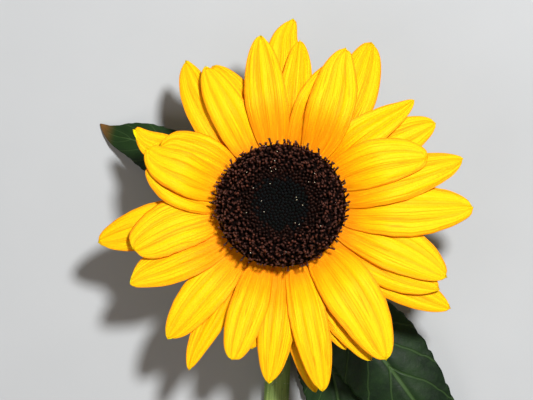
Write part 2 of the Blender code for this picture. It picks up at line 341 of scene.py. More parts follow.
def leaf_material(name, dark, bright, vein, gloss=0.42, vein_count=7.0):
    """Leaf blade: a pale midrib and side veins, quilted between them, lighter beneath."""
    n = Nodes(name)
    along, across, _ = n.split(n.attribute("sheet").outputs["Vector"])
    side = n.math("ABSOLUTE", across)
    slanted = n.math("SUBTRACT", n.times(along, vein_count), n.times(side, 1.6))
    wobble = n.noise(n.object_place(), 60.0, 2.0, 0.5)
    slanted = n.math("ADD", slanted, n.times(wobble, 0.35))
    step = n.math("ABSOLUTE", n.math("SUBTRACT", n.math("FRACT", slanted), 0.5))
    side_vein = n.between(step, 0.07, 0.015)
    midrib = n.between(side, 0.07, 0.02)
    fine = n.noise(n.object_place(), 420.0, 3.0, 0.6)
    broad = n.noise(n.object_place(), 45.0, 3.0, 0.55)
    colour = n.mix(n.between(broad, 0.35, 0.68), dark, bright)
    colour = n.mix(n.times(n.between(fine, 0.45, 0.7), 0.3), colour, bright)
    colour = n.mix(n.times(side_vein, 0.45), colour, vein)
    colour = n.mix(n.times(midrib, 0.85), colour, vein)
    under = n.attribute("under").outputs["Fac"]
    colour = n.mix(n.times(under, 0.5), colour, (0.08, 0.15, 0.05))
    dry = n.attribute("dry").outputs["Fac"]
    colour = n.mix(dry, colour, (0.16, 0.075, 0.02))
    quilt = n.times(n.math("SUBTRACT", 1.0, side_vein), 0.8)
    height = n.math("ADD", n.times(fine, 0.5), quilt)
    height = n.math("SUBTRACT", height, n.times(midrib, 0.6))
    rough = n.math("ADD", gloss, n.times(fine, 0.25))
    return n.finish(colour, rough, n.bump(height, 0.5, 0.0007), Specular_IOR_Level=0.16)


def stem_material():
    """Stem: pale green, with lengthwise ridges and small dark flecks."""
    n = Nodes("stem_skin")
    along, across, own = n.split(n.attribute("sheet").outputs["Vector"])
    stripe_place = n.vector(n.times(along, 14.0), n.times(across, 16.0), own)
    stripe = n.noise(stripe_place, 1.4, 3.0, 0.6)
    fleck = n.noise(n.object_place(), 520.0, 2.0, 0.5)
    broad = n.noise(n.object_place(), 30.0, 3.0, 0.5)
    colour = n.mix(n.between(stripe, 0.35, 0.65), (0.10, 0.19, 0.035), (0.25, 0.37, 0.09))
    colour = n.mix(n.times(n.between(broad, 0.45, 0.7), 0.4), colour, (0.31, 0.40, 0.12))
    colour = n.mix(n.times(n.between(fleck, 0.66, 0.74), 0.5), colour, (0.08, 0.05, 0.02))
    height = n.math("ADD", stripe, n.times(fleck, 0.3))
    return n.finish(colour, 0.55, n.bump(height, 0.5, 0.0007), Specular_IOR_Level=0.4)


def cut_material():
    """The cut end: a pale spongy pith inside a green rind."""
    n = Nodes("stem_cut")
    _, across, _ = n.split(n.attribute("sheet").outputs["Vector"])
    pith = n.noise(n.object_place(), 1500.0, 3.0, 0.6)
    colour = n.mix(pith, (0.55, 0.55, 0.38), (0.80, 0.80, 0.62))
    colour = n.mix(n.between(across, 0.70, 0.86), colour, (0.22, 0.32, 0.08))
    return n.finish(colour, 0.75, n.bump(pith, 0.6, 0.0005))


def hair_material():
    """The pale hairs on the stem."""
    n = Nodes("stem_hair")
    grain = n.noise(n.object_place(), 800.0, 2.0, 0.5)
    return n.finish(n.mix(grain, (0.55, 0.60, 0.42), (0.75, 0.78, 0.62)), 0.6)


def table_material():
    """A plain pale floor."""
    n = Nodes("table_top")
    grain = n.noise(n.object_place(), 25.0, 3.0, 0.5)
    return n.finish(n.mix(grain, (0.38, 0.395, 0.405), (0.41, 0.425, 0.435)), 0.85)


# ---------------------------------------------------------------- ray florets

# One line per ray floret, as in the CAD model: root angle, tip angle, reach, width, layer, edge
# drop, tip lift. Then its looks: asymmetry of its sides (-1 to 1), depth of its middle fold (mm,
# negative folds up), where it is widest, how blunt its tip is, and the tip's sideways hook (mm).
RAY_FLORETS = (
    ((-3, 0, 76.8, 21, 3, 0.5, 0.0), (-0.25, 0.5, 0.50, 0.74, 0)),
    ((11, 14.4, 75.4, 17.5, 4, 0.4, 0.5), (0.0, 0.4, 0.47, 0.80, 0)),
    ((28, 17.8, 61.4, 19, 5, 0.6, 0.0), (-0.35, 0.9, 0.50, 0.66, 0)),
    ((32, 29.2, 72, 18.5, 1, 0.4, 0.0), (0.1, 0.4, 0.50, 0.80, 0)),
    ((43, 37.4, 68.5, 14.5, 3, -0.6, 2.0), (0.0, -1.6, 0.42, 0.95, 1.5)),
    ((54, 61.9, 79, 20, 0, 0.4, 0.0), (0.1, 0.5, 0.50, 0.74, 0)),
    ((59, 69.3, 67.8, 19, 5, 0.6, 1.5), (0.15, 0.6, 0.50, 0.78, -2.0)),
    ((74, 69, 63, 14.5, 3, -0.5, 0.0), (0.0, -1.5, 0.50, 0.78, 0)),
    ((82, 83.5, 69.4, 13.5, 2, -0.4, 0.0), (0.0, -1.1, 0.48, 0.85, 0)),
    ((89, 88, 78.8, 16, 1, 0.4, 1.0), (0.8, 0.5, 0.50, 0.76, -2.5)),
    ((97, 96.8, 70, 17, 4, 0.6, 0.0), (0.5, 0.6, 0.46, 0.80, 0)),
    ((108, 115.5, 64, 15, 2, 0.4, 0.0), (0.0, 0.4, 0.50, 0.80, 0)),
    ((119.5, 118.3, 64.5, 15.5, 3, 0.5, 0.5), (0.0, 0.6, 0.48, 0.78, 0)),
    ((131, 122.7, 72, 16, 1, 0.4, 0.0), (0.1, 0.4, 0.50, 0.80, 0)),
    ((141, 151, 55, 12, 3, 0.5, 1.5), (-0.3, 0.8, 0.52, 0.72, 3.0)),
    ((147, 152.7, 55, 10.5, 2, 0.3, 0.0), (0.0, 0.4, 0.50, 0.80, 0)),
    ((151, 154.7, 66.7, 13.5, 1, 0.3, 1.5), (0.2, 0.6, 0.55, 0.66, -3.5)),
    ((163, 159.5, 58.4, 17, 5, 0.6, -0.5), (0.3, 0.9, 0.50, 0.66, -2.0)),
    ((175, 163, 55, 16, 4, 0.5, 0.0), (0.1, 0.7, 0.58, 0.60, 0)),
    ((187, 196.6, 61.8, 21, 3, 0.5, 0.0), (0.1, 0.7, 0.56, 0.55, 0)),
    ((187, 190.6, 74.8, 19, 1, 0.4, 0.0), (0.0, 0.4, 0.50, 0.80, 0)),
    ((209, 206, 67.8, 17.5, 2, 0.5, 1.0), (0.0, 0.5, 0.50, 0.80, 1.5)),
    ((228, 229.4, 69.7, 17, 1, 0.4, 0.0), (0.0, 0.5, 0.50, 0.80, 0)),
    ((237, 239.8, 75, 12, 0, -0.5, 1.0), (0.0, -1.6, 0.48, 0.90, 1.0)),
    ((252, 252.8, 65, 15, 3, 0.6, 0.5), (0.0, 0.6, 0.52, 0.62, 0)),
    ((259, 258.5, 58.4, 12, 1, 0.3, 0.0), (0.0, 0.4, 0.50, 0.80, 0)),
    ((269, 266, 71, 15, 2, 0.5, 0.0), (0.0, 0.5, 0.50, 0.80, 0)),
    ((277, 280.6, 75.3, 12, 0, 0.3, 0.0), (0.0, 0.4, 0.50, 0.85, 0)),
    ((284, 282.6, 76, 15, 3, 0.5, 0.5), (0.0, 0.5, 0.50, 0.80, 0)),
    ((292, 294.3, 63, 11, 1, 0.3, 0.0), (0.0, 0.4, 0.50, 0.85, 0)),
    ((299, 300.3, 71, 16, 2, 0.4, 0.0), (0.0, 0.4, 0.50, 0.80, 0)),
    ((310, 303.9, 74.5, 22, 4, 0.6, 0.5), (0.0, 0.7, 0.46, 0.78, 0)),
    ((325, 329.6, 79.4, 16, 0, 0.4, 0.0), (0.0, 0.4, 0.50, 0.84, 0)),
    ((329, 332.7, 71.6, 17, 1, 0.4, 0.5), (0.0, 0.4, 0.50, 0.84, 0)),
    ((343, 336.8, 72, 20, 2, 0.5, 0.0), (0.0, 0.5, 0.50, 0.80, 0)),
)
RAY_ROWS = 61
RAY_COLUMNS = 33
RAY_THICKNESS = 0.42
RAY_LEAST_HALF_WIDTH = 0.12
TIP_ROUNDING = 0.62                   # lower is rounder
SIDE_ASYMMETRY = 0.16                 # how much a full lean widens one side and narrows the other
TOOTH_LENGTH = 1.2
RIB_HEIGHT = 0.48
FINE_RIB_HEIGHT = 0.11
RIPPLE_HEIGHT = 0.40
BUCKLE_HEIGHT = 0.35


def layer_height(layer, radius):
    climb = smooth_step((radius - RAY_ROOT_RADIUS) / (FAN_RADIUS - RAY_ROOT_RADIUS))
    gap = LAYER_GAP_ROOT + (LAYER_GAP_FAN - LAYER_GAP_ROOT) * climb
    past = np.maximum(radius - FAN_RADIUS, 0.0) / 30
    return RAY_ROOT_HEIGHT + RAY_RISE * climb - RAY_DROOP * past ** 2 + (layer - MIDDLE_LAYER) * gap


def ray_points(number, place, looks):
    """The petal's surface points (mm), sheet coordinates, width shares and depth of its grooves, which the
    material uses as a mask for painted shade.
    """
    root_angle, tip_angle, reach, width, layer, edge_drop, tip_lift = place
    lean, fold, widest, blunt, hook = looks
    seed = 100 + number
    along, across = np.meshgrid(
        np.linspace(0, 1, RAY_ROWS) ** 0.97, np.linspace(-1, 1, RAY_COLUMNS), indexing="ij"
    )
    a0, a1 = math.radians(root_angle), math.radians(tip_angle)
    root = np.array([math.cos(a0), math.sin(a0)]) * RAY_ROOT_RADIUS
    tip = np.array([math.cos(a1), math.sin(a1)]) * reach
    knee = root + np.array([math.cos(a0), math.sin(a0)]) * np.linalg.norm(tip - root) * 0.5
    t = along[..., None]
    centre = root * (1 - t) ** 2 + knee * 2 * t * (1 - t) + tip * t ** 2
    forward = (knee - root) * (1 - t) + (tip - knee) * t
    side = np.stack([-forward[..., 1], forward[..., 0]], -1)
    side /= np.linalg.norm(side, axis=-1, keepdims=True)
    share = blade_width(0.05 + 0.95 * along, widest, blunt * TIP_ROUNDING)
    half = np.maximum(width / 2 * share, RAY_LEAST_HALF_WIDTH)
    # Each side has an outline of its own, a little wavy, and the tip has small teeth.
    way = np.sign(across)
    outline = 1 + SIDE_ASYMMETRY * way * lean * smooth_step(along / 0.4)
    outline = outline + 0.035 * wave(along, seed, 3, 1.0, 2.6) * way
    outline = outline + 0.012 * wave(along, seed + 50, 2, 5.0, 9.0)
    teeth = TOOTH_LENGTH * wave(across * 0.5, seed + 80, 3, 1.2, 3.0) * smooth_step((along - 0.86) / 0.14)
    bend = hook * np.maximum(along - 0.82, 0) ** 2 / 0.18 ** 2
    sideways = across * half * outline + bend
    unit = forward / np.linalg.norm(forward, axis=-1, keepdims=True)
    plan = centre + side * sideways[..., None] + unit * ((teeth - 0.3) * (along > 0.5))[..., None]
    radius = np.linalg.norm(plan, axis=-1)
    past = np.maximum(along - 0.7, 0) / 0.3
    height = layer_height(layer, radius) - edge_drop * share * across ** 2 + tip_lift * past ** 2
    # Lengthwise ribs, a soft middle fold, rolling edges and a gentle buckle along the petal.
    open_part = smooth_step(along / 0.3)
    ribs = RIB_HEIGHT * np.cos(across * math.pi * 3.1 + 0.9 * wave(along, seed + 9, 2, 0.4, 1.0))
    fine_drift = 0.8 * wave(along, seed + 13, 2, 0.4, 1.2)
    ribs = ribs + FINE_RIB_HEIGHT * np.cos(across * math.pi * 7.3 + seed + fine_drift)
    # Depth of the grooves between the ribs, the mask of the shade painted there.
    groove_shade = np.clip(0.5 - ribs, 0, 1) * open_part
    height = height + ribs * share * (0.45 + 0.55 * np.sin(math.pi * np.clip(along, 0, 1)))
    crease = np.exp(-(across / 0.16) ** 2)
    height = height - fold * 0.55 * crease * open_part * (1 - 0.35 * along)
    if fold < 0:
        height = height + (-fold) * 0.45 * np.abs(across) * share * open_part
    ripple = RIPPLE_HEIGHT * wave(along + 0.13 * across, seed + 21, 3, 1.2, 3.0) * np.abs(across) ** 2
    buckle = BUCKLE_HEIGHT * wave(along, seed + 33, 2, 0.8, 2.0)
    height = height + (ripple + buckle) * open_part
    points = np.concatenate([plan, height[..., None]], -1).reshape(-1, 3)
    own = np.random.default_rng(seed + 5).uniform(0, 1)
    sheet = np.stack([along, across, np.full_like(along, own)], -1).reshape(-1, 3)
    return points, sheet, share, groove_shade


def add_rays():
    petal = ray_material()
    for number, (place, looks) in enumerate(RAY_FLORETS, start=1):
        points, sheet, share, groove_shade = ray_points(number, place, looks)
        name = f"petal_{number:02d}"
        thick = RAY_THICKNESS * (0.35 + 0.65 * np.clip(share, 0, 1)).ravel()
        mesh = sheet_mesh(name, points, RAY_ROWS, RAY_COLUMNS, thick, sheet)
        add_values(mesh, "groove_shade", np.tile(groove_shade.ravel(), 2))
        item = link_object(name, mesh, petal, HEAD)
        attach(item, "root")
        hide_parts(f"ray_floret_{number:02d}")


# ---------------------------------------------------------------- disc florets

GOLDEN_ANGLE = math.pi * (3 - math.sqrt(5))
DISC_SQUEEZE = 0.955                  # the disc is a little shorter along Y than across
HEART_SHARE = 0.42                    # closed buds out to this share of the disc's radius
OPEN_SHARE = 0.62                     # open florets from here to the rim
POLLEN_SHARE = 0.03                   # florets that carry a pale grain
FLORET_COUNT = 1150
FLORET_MARGIN = 2.2                   # from the outermost florets' feet to the disc's rim
BED_MARGIN = 2.4
SKIRT_RADIUS = 21.0
SKIRT_HEIGHT = 0.4


def disc_height(radius):
    """Height of the bed under the florets: a shallow dish that rises to a ring and rolls over."""
    share = radius / DISC_RADIUS
    return BED_HEIGHT * (0.62 + 0.22 * smooth_step(share / 0.62) - 0.75 * smooth_step((share - 0.74) / 0.34))


def bed_mesh():
    """The bed that the florets stand in, closed beneath by a skirt."""
    rows, columns = 40, 96
    radius = np.linspace(0.02, 1.0, rows) * (DISC_RADIUS - BED_MARGIN)
    angle = np.linspace(0, 2 * math.pi, columns, endpoint=False)
    r, a = np.meshgrid(radius, angle, indexing="ij")
    top = np.stack([r * np.cos(a), r * np.sin(a) * DISC_SQUEEZE, disc_height(r) - 1.2], -1)
    skirt = top[-1:].copy()
    skirt[..., 2] = SKIRT_HEIGHT
    skirt[..., :2] *= SKIRT_RADIUS / (DISC_RADIUS - BED_MARGIN)
    points = np.concatenate([top, skirt]).reshape(-1, 3)
    mesh = bpy.data.meshes.new("disc_bed")
    faces = []
    for row in range(rows):
        for column in range(columns):
            after = (column + 1) % columns
            low, high = row * columns, (row + 1) * columns
            faces.append((low + column, high + column, high + after, low + after))
    faces.append(tuple(range(columns)))
    faces.append(tuple(rows * columns + c for c in reversed(range(columns))))
    mesh.from_pydata((points * MM).tolist(), [], faces)
    mesh.update()
    return mesh


class Pile:
    """Many small tubes gathered into one mesh."""

    def __init__(self):
        self.points = []
        self.faces = []
        self.sheet = []
        self.count = 0

    def tube(self, centres, radii, sides, own):
        """A closed tube through the centres (n, 3) with a radius at each."""
        centres = np.asarray(centres, float)
        forward = np.gradient(centres, axis=0)
        forward /= np.linalg.norm(forward, axis=1, keepdims=True) + TINY
        helper = np.array([0.0, 0.0, 1.0]) if abs(forward[0, 2]) < 0.9 else np.array([1.0, 0.0, 0.0])
        first = np.cross(forward, helper)
        first /= np.linalg.norm(first, axis=1, keepdims=True) + TINY
        second = np.cross(forward, first)
        angle = np.linspace(0, 2 * math.pi, sides, endpoint=False)
        ring = (
            first[:, None, :] * np.cos(angle)[None, :, None]
            + second[:, None, :] * np.sin(angle)[None, :, None]
        ) * np.asarray(radii)[:, None, None]
        points = (centres[:, None, :] + ring).reshape(-1, 3)
        rings = len(centres)
        index = np.arange(rings * sides).reshape(rings, sides) + self.count
        after = np.roll(index, -1, axis=1)
        quads = np.stack([index[:-1], index[1:], after[1:], after[:-1]], -1).reshape(-1, 4)
        self.faces += quads.tolist()
        self.faces.append(index[0].tolist())
        self.faces.append(index[-1][::-1].tolist())
        along = np.repeat(np.linspace(0, 1, rings), sides)
        self.points.append(points)
        around = np.tile(angle / math.pi - 1, rings)
        self.sheet.append(np.stack([along, around, np.full(len(along), own)], -1))
        self.count += rings * sides

    def mesh(self, name):
        mesh = bpy.data.meshes.new(name)
        mesh.from_pydata((np.concatenate(self.points) * MM).tolist(), [], self.faces)
        mesh.update()
        add_sheet(mesh, np.concatenate(self.sheet))
        return mesh


def floret_seats():
    """Spiral seats of the disc florets: radius, angle, share of the way out."""
    for index in range(FLORET_COUNT):
        share = math.sqrt((index + 0.5) / FLORET_COUNT)
        yield share * (DISC_RADIUS - FLORET_MARGIN), index * GOLDEN_ANGLE, share


def add_disc():
    buds, tubes, anthers, stigmas, pollen = Pile(), Pile(), Pile(), Pile(), Pile()
    for radius, angle, share in floret_seats():
        radius = radius + rng.normal(0, 0.10)
        angle = angle + rng.normal(0, 0.10) / (radius + 1)
        out = np.array([math.cos(angle), math.sin(angle) * DISC_SQUEEZE, 0.0])
        foot = out * radius
        foot[2] = disc_height(radius) - 1.6
        own = rng.uniform(0, 1)
        if share < HEART_SHARE + rng.normal(0, 0.03):
            # Closed buds at the heart: short blunt cones packed shoulder to shoulder.
            tall = 1.7 + 0.5 * rng.uniform()
            lean = out * (-0.25 + 0.3 * share) + rng.normal(0, 0.08, 3)
            rise = np.linspace(0, 1, 5)[:, None]
            centres = foot + rise * np.array([0, 0, tall]) + rise * lean
            buds.tube(centres, np.array([0.50, 0.64, 0.62, 0.42, 0.08]), 6, own)
        elif share < OPEN_SHARE + rng.normal(0, 0.03):
            # Tight tubes around them, taller outward and leaning every way.
            tall = 2.2 + 1.3 * (share - HEART_SHARE) / (OPEN_SHARE - HEART_SHARE) + 0.7 * rng.uniform()
            lean = rng.normal(0, 0.32, 3)
            rise = np.linspace(0, 1, 5)[:, None]
            centres = foot + rise * np.array([0, 0, tall]) + rise * lean
            tubes.tube(centres, np.array([0.40, 0.52, 0.50, 0.46, 0.24]), 6, own)
        else:
            # Open florets: a dark anther tube on a red corolla, leaning out near the rim.
            rim = (share - OPEN_SHARE) / (1 - OPEN_SHARE)
            tall = (3.9 + 1.9 * rng.uniform()) * (1 - 0.42 * rim)
            lean = out * (0.1 + 0.8 * rim ** 2) + rng.normal(0, 0.65, 3)
            rise = np.linspace(0, 1, 6)[:, None]
            centres = foot + rise * np.array([0, 0, tall]) + rise ** 1.6 * lean
            tubes.tube(centres[:4], np.array([0.34, 0.42, 0.40, 0.36]), 6, own)
            top = centres[3]
            direction = centres[-1] - centres[3]
            direction = direction / np.linalg.norm(direction)
            span = np.linspace(0, 1, 5)[:, None]
            anther = top + span * direction * (1.6 + 0.9 * rng.uniform())
            anthers.tube(anther, np.array([0.30, 0.38, 0.40, 0.48, 0.30]), 6, own)
            if rng.uniform() < 0.5:
                tip = anther[-1]
                for turn in (-1, 1):
                    swing = np.array([-out[1], out[0], 0.0]) * turn * (0.4 + 0.5 * rng.uniform())
                    curl = np.linspace(0, 1, 5)[:, None]
                    path = tip - direction * 0.3 + curl * (direction * 0.8) + curl ** 2 * swing
                    path = path - curl ** 3 * direction * 0.5
                    stigmas.tube(path, np.array([0.15, 0.15, 0.13, 0.12, 0.06]), 5, own)
        if rng.uniform() < POLLEN_SHARE:
            grain = foot + np.array([0, 0, 2.2 + 2.4 * share]) + rng.normal(0, 0.3, 3)
            pollen.tube(
                grain + np.linspace(-0.16, 0.16, 4)[:, None] * np.array([0, 0, 1.0]),
                np.array([0.05, 0.17, 0.17, 0.05]), 5, own,
            )
    bed = link_object("disc_bed", bed_mesh(), disc_ground_material(), HEAD)
    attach(bed, "root")
    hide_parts("disc_florets")
    # Each kind's name, tubes, then its material: name, root, tip and odd colour, rough, spread, shine.
    parts = (
        ("disc_buds", buds, "bud_skin",
         (0.0008, 0.001, 0.0008), (0.006, 0.008, 0.009), (0.003, 0.006, 0.004), 0.36, 0.5, 0.22),
        ("disc_tubes", tubes, "corolla_skin",
         (0.05, 0.006, 0.002), (0.016, 0.007, 0.005), (0.040, 0.013, 0.008), 0.5, 0.6, 0.15),
        ("disc_anthers", anthers, "anther_skin",
         (0.008, 0.003, 0.003), (0.032, 0.009, 0.006), (0.12, 0.032, 0.016), 0.42, 0.7, 0.25),
        ("disc_stigmas", stigmas, "stigma_skin",
         (0.045, 0.010, 0.006), (0.075, 0.022, 0.012), (0.020, 0.008, 0.006), 0.5, 0.7, 0.3),
        ("disc_pollen", pollen, "pollen_grain",
         (0.75, 0.55, 0.25), (0.85, 0.75, 0.50), (0.85, 0.80, 0.70), 0.8, 0.5, 0.3),
    )
    for name, pile, *look in parts:
        item = link_object(name, pile.mesh(name), floret_material(*look), HEAD)
        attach(item, "root")


# ---------------------------------------------------------------- bracts

BRACTS_IN_ROW = 9
BRACT_THICKNESS = 0.7
# Each row's name, root radius and height, tip radius and height, width, and first bract's angle.
BRACT_ROWS = (
    ("inner", 26.2, -8.0, 60.5, -11.5, 15, -11),
    ("outer", 21.6, -11.4, 53.0, -16.0, 14, 9),
)


def add_bracts():
    green = leaf_material(
        "bract_skin", (0.030, 0.075, 0.012), (0.085, 0.16, 0.030), (0.16, 0.25, 0.07), 0.5, 5.0
    )
    rows, columns = 37, 17
    for row, root_radius, root_height, tip_radius, tip_height, width, first in BRACT_ROWS:
        for index in range(BRACTS_IN_ROW):
            seed = 500 + index + (40 if row == "outer" else 0)
            degrees = first + index * 360 / BRACTS_IN_ROW
            a = math.radians(degrees)
            along, across = np.meshgrid(np.linspace(0, 1, rows), np.linspace(-1, 1, columns), indexing="ij")
            radius = root_radius + (tip_radius - root_radius) * along
            share = blade_width(0.12 + 0.88 * along, 0.42, 1.05)
            half = np.maximum(width / 2 * share, 0.15)
            sideways = across * half * (1 + 0.05 * wave(along, seed, 3, 1, 3))
            sideways = sideways + 1.2 * wave(along * 0.5, seed + 3, 2, 0.5, 1.2) * along ** 2
            height = root_height + (tip_height - root_height) * along ** 1.6
            height = height + 1.2 * share * across ** 2 + 0.35 * np.cos(across * 9) * share * 0.4
            height = height + 0.4 * wave(along + 0.2 * across, seed + 7, 2, 1, 2.5) * smooth_step(along / 0.3)
            x = radius * math.cos(a) - sideways * math.sin(a)
            y = radius * math.sin(a) + sideways * math.cos(a)
            points = np.stack([x, y, height], -1).reshape(-1, 3)
            own = np.random.default_rng(seed).uniform()
            sheet = np.stack([along, across, np.full_like(along, own)], -1).reshape(-1, 3)
            name = f"scale_{row}_{index + 1}"
            thick = (BRACT_THICKNESS * (0.35 + 0.65 * share)).ravel()
            mesh = sheet_mesh(name, points, rows, columns, thick, sheet)
            item = link_object(name, mesh, green, HEAD)
            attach(item, "root")
            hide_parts(f"bract_{row}_{index + 1}")


# ---------------------------------------------------------------- leaves

# Each leaf's name, route from the stem to its tip, petiole's share of it, half width and edge drop.
LEAVES = (
    ("leaf_upper_left", ((-7.2, -33, 6.0), (-18, -14, 10), (-36, 13, 15), (-57, 27, 12), (-77, 32, 0.6)),
     0.22, 12.5, 3.0),
    ("leaf_lower_right", ((6.6, -34, 7.0), (21, -42, 13), (38, -57, 15), (60, -86, 12), (85, -121, 0.6)),
     0.28, 19, 4.5),
    ("leaf_lower", ((7.2, -50, 4.5), (14, -56, 6), (22, -70, 7), (27, -100, 5), (30, -137, 0.6)),
     0.20, 14, 2.5),
)
PETIOLE_HALF_WIDTH = 1.7
PETIOLE_THICKNESS = 3.0
LEAF_THICKNESS = 0.8
LEAST_LEAF_HEIGHT = 0.45              # keeps a blade's middle surface above the table
TIP_CURL = (4.0, 1.5, 1.5)            # how far each leaf's dry tip curls sideways, mm


def spline_points(points, shares):
    """Points on the smooth curve (Catmull-Rom) through all the points."""
    points = np.asarray(points, float)
    padded = np.concatenate([[2 * points[0] - points[1]], points, [2 * points[-1] - points[-2]]])
    spans = len(points) - 1
    place = np.clip(shares, 0, 1) * spans
    index = np.minimum(place.astype(int), spans - 1)
    t = (place - index)[..., None]
    before, start, end, after = (padded[index + k] for k in range(4))
    return 0.5 * (
        start * 2 + (end - before) * t + (before * 2 - start * 5 + end * 4 - after) * t ** 2
        + (start * 3 - before - end * 3 + after) * t ** 3
    )


def add_leaves():
    green = leaf_material(
        "leaf_skin", (0.003, 0.011, 0.003), (0.012, 0.034, 0.007), (0.040, 0.080, 0.022), 0.42, 9.0
    )
    rows, columns = 121, 49
    for number, (name, route, petiole, half_width, edge_drop) in enumerate(LEAVES):
        seed = 900 + number
        along, across = np.meshgrid(np.linspace(0, 1, rows), np.linspace(-1, 1, columns), indexing="ij")
        centre = spline_points(route, along)
        forward = spline_points(route, along + 0.01) - spline_points(route, along - 0.01)
        side = np.stack([-forward[..., 1], forward[..., 0], np.zeros_like(along)], -1)
        side /= np.linalg.norm(side, axis=-1, keepdims=True)
        blade = np.clip((along - petiole) / (1 - petiole), 0, 1)
        share = blade_width(0.02 + 0.98 * blade, 0.36, 0.75) * (along > petiole)
        opening = smooth_step((along - petiole) / 0.06)
        half = np.maximum(half_width * share * opening, PETIOLE_HALF_WIDTH * (1 - opening) + 0.15)
        # Saw teeth along the edge of the blade.
        tooth = np.abs(((blade * 15 + 0.15 * np.sin(blade * 40)) % 1.0) - 0.35)
        saw = 1 - 0.075 * tooth * smooth_step(np.abs(across)) * (opening > 0.5)
        curl = TIP_CURL[number] * np.maximum(along - 0.88, 0) ** 2 / 0.12 ** 2
        point = centre + side * (across * half * saw - curl)[..., None]
        quilt = 0.45 * np.abs(np.sin(math.pi * (blade * 9 * (1 - petiole) - np.abs(across) * 1.6)))
        valley = -0.7 * np.exp(-(across / 0.10) ** 2)
        ruffle = 0.9 * wave(blade + 0.1 * across, seed, 3, 1.2, 3.0) * np.abs(across) ** 2
        z = point[..., 2] - edge_drop * share * across ** 2 + (quilt + valley + ruffle) * opening * share
        point[..., 2] = np.maximum(z, LEAST_LEAF_HEIGHT)
        blade_thick = LEAF_THICKNESS * 0.6
        thinning = 1 - smooth_step(along / petiole - 0.4)
        thick = blade_thick + (PETIOLE_THICKNESS - blade_thick) * thinning
        sheet = np.stack([along, across, np.full_like(along, 0.3 * number + 0.2)], -1).reshape(-1, 3)
        mesh = sheet_mesh("blade_" + name, point.reshape(-1, 3), rows, columns, thick.ravel(), sheet)
        dry = smooth_step((along - 0.90) / 0.09) * 0.95
        add_values(mesh, "dry", np.tile(dry.ravel(), 2))
        item = link_object("blade_" + name, mesh, green, PLANT_FRAME)
        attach(item, "root")
        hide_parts(name)


# ---------------------------------------------------------------- stem and receptacle

STRAIGHT_RINGS = 130
NECK_RINGS = 25
NECK_RING_DEPTH = 21                  # where the receptacle's rings start, below its rim
HAIR_COUNT = 900
HAIR_LOWEST = 1.5                     # no hair's tip comes nearer to the table


def stem_rings():
    """Centre and radius of each ring (mm), from the cut end to the receptacle's rim."""
    profile = np.array((
        (19.0, 6.6), (16.5, 8.8), (14.0, 12.6), (11.5, 0.71 * RECEPTACLE_RADIUS),
        (9.5, 0.88 * RECEPTACLE_RADIUS), (8.0, 0.97 * RECEPTACLE_RADIUS), (6.9, RECEPTACLE_RADIUS),
        (6.4, 0.985 * RECEPTACLE_RADIUS), (6.1, 22.0), (0.5, 21.6),
    ))
    rings = []
    for index in range(STRAIGHT_RINGS):
        share = index / STRAIGHT_RINGS
        radius = STEM_END_RADIUS + (STEM_RADIUS - STEM_END_RADIUS) * share
        sway = STEM_SWAY * math.sin(math.pi * share) ** 2
        rings.append((np.array([-sway, BEND_START - STEM_LENGTH * (1 - share), radius]), radius))
    for index in range(NECK_RINGS):
        share = index / (NECK_RINGS - 1)
        angle = NECK_TURN * share
        centre = np.array([
            0, BEND_START + NECK_BEND_RADIUS * math.sin(angle),
            STEM_RADIUS + NECK_BEND_RADIUS * (1 - math.cos(angle)),
        ])
        rings.append((centre, STEM_RADIUS + (NECK_RADIUS - STEM_RADIUS) * share))
    axis = np.array(AXIS)
    origin = np.array([0, 0, HEAD_HEIGHT])
    for depth in np.linspace(NECK_RING_DEPTH, 6.9, 24):
        if depth < profile[0, 0]:
            radius = np.interp(-depth, -profile[:, 0], profile[:, 1])
        else:
            radius = NECK_RADIUS + (NECK_RING_DEPTH - depth) / 2 * 1.6
        rings.append((origin - axis * depth, radius))
    for depth, radius in profile[-3:]:
        rings.append((origin - axis * depth, radius))
    return rings


